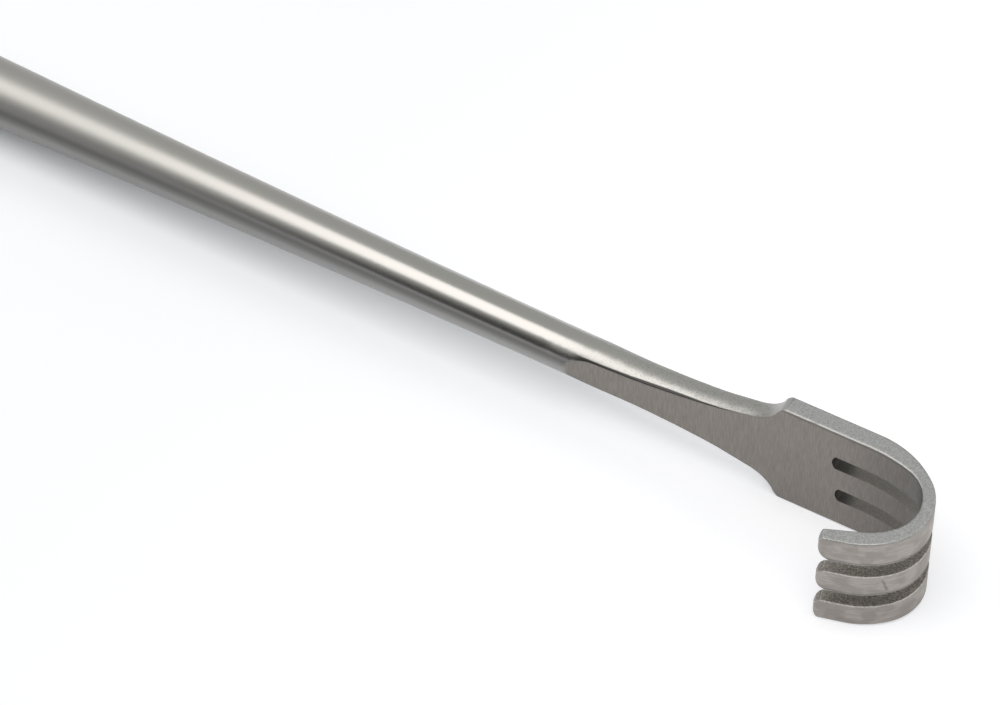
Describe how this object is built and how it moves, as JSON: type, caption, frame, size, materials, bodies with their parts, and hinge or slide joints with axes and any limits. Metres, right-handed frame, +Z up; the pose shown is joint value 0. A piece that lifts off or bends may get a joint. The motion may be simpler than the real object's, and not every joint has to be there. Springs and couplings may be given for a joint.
{
  "type": "hand retractor",
  "caption": "Hand-held surgical retractor: a slim round steel handle that flattens into a short plate and a curved, blunt-pronged hook.",
  "frame": {"origin": "middle of the part's length and of its depth, on the floor it lies on", "axes": "+X along the handle towards the hook, -Y the way the prongs curl, +Z up, nearly along the plate's width"},
  "size_m": [0.216, 0.0228, 0.0163],
  "materials": {
    "steel": "satin, with fine grinding marks and a smoother handle"
  },
  "bodies": {
    "root": {"retractor": "steel"}
  },
  "joints": []
}
